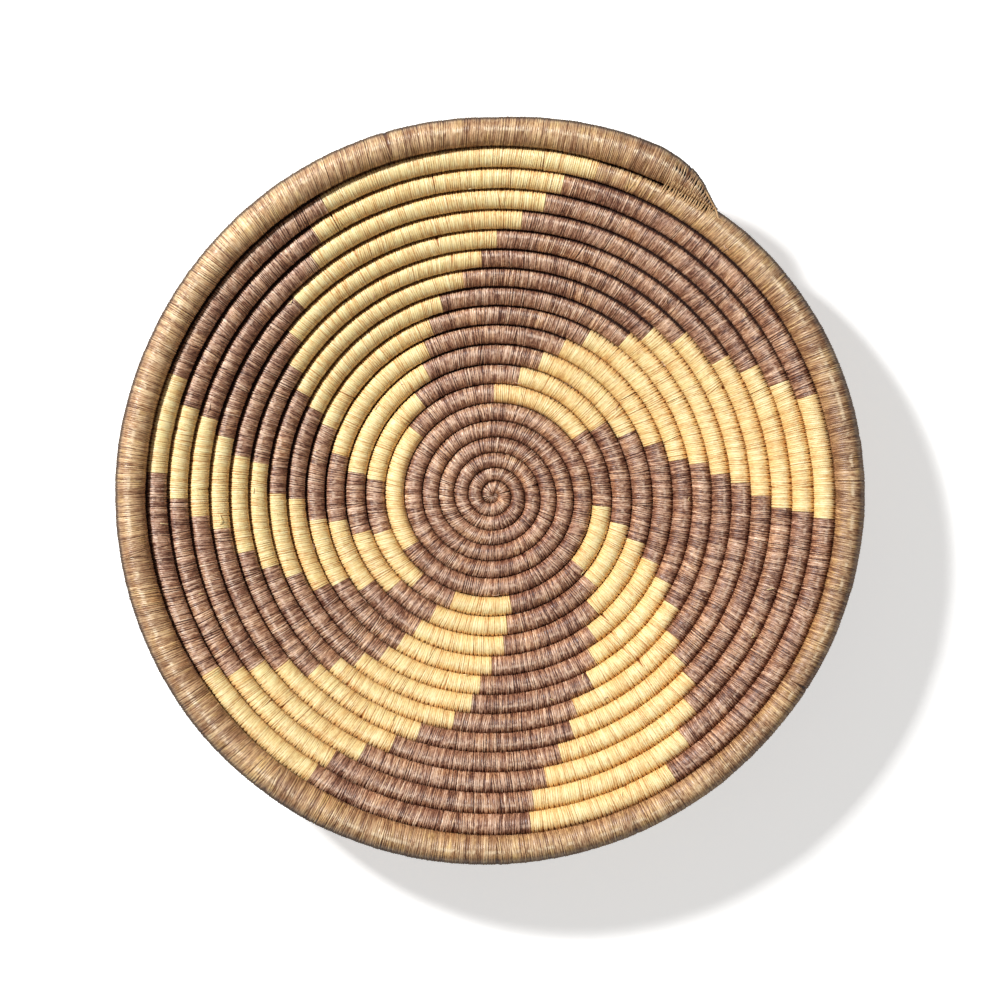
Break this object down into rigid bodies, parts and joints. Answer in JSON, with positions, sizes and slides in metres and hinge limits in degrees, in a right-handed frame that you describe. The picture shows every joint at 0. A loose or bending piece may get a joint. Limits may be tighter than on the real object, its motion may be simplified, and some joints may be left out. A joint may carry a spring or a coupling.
{
  "type": "wall basket",
  "caption": "Shallow coiled bowl for a wall or a table: a long fibre bundle wrapped in natural and dyed raffia in whirling arms, with a thicker rim.",
  "frame": {"origin": "under the middle of the basket's outline, on the plane of the base's foot", "axes": "+Z out of the bowl's opening, towards the viewer of the hung basket; +Y towards the top of the hung basket; +X to the viewer's right"},
  "size_m": [0.332, 0.3312, 0.0584],
  "materials": {
    "natural_raffia": "satin dry plant fibre, straw yellow",
    "dyed_raffia": "satin dry plant fibre, dyed reddish brown",
    "rim_raffia": "satin dry plant fibre, dyed tan brown",
    "foundation_fibre": "matt dry grass bundle"
  },
  "bodies": {
    "root": {"foundation_coil": "foundation_fibre", "centre_wrap": "dyed_raffia", "natural_arm_1": "natural_raffia", "natural_arm_2": "natural_raffia", "natural_arm_3": "natural_raffia", "natural_arm_4": "natural_raffia", "natural_arm_5": "natural_raffia", "dyed_arm_1": "dyed_raffia", "dyed_arm_2": "dyed_raffia", "dyed_arm_3": "dyed_raffia", "dyed_arm_4": "dyed_raffia", "dyed_arm_5": "dyed_raffia", "rim_wrap": "rim_raffia", "tail_lashing": "rim_raffia"}
  },
  "joints": []
}
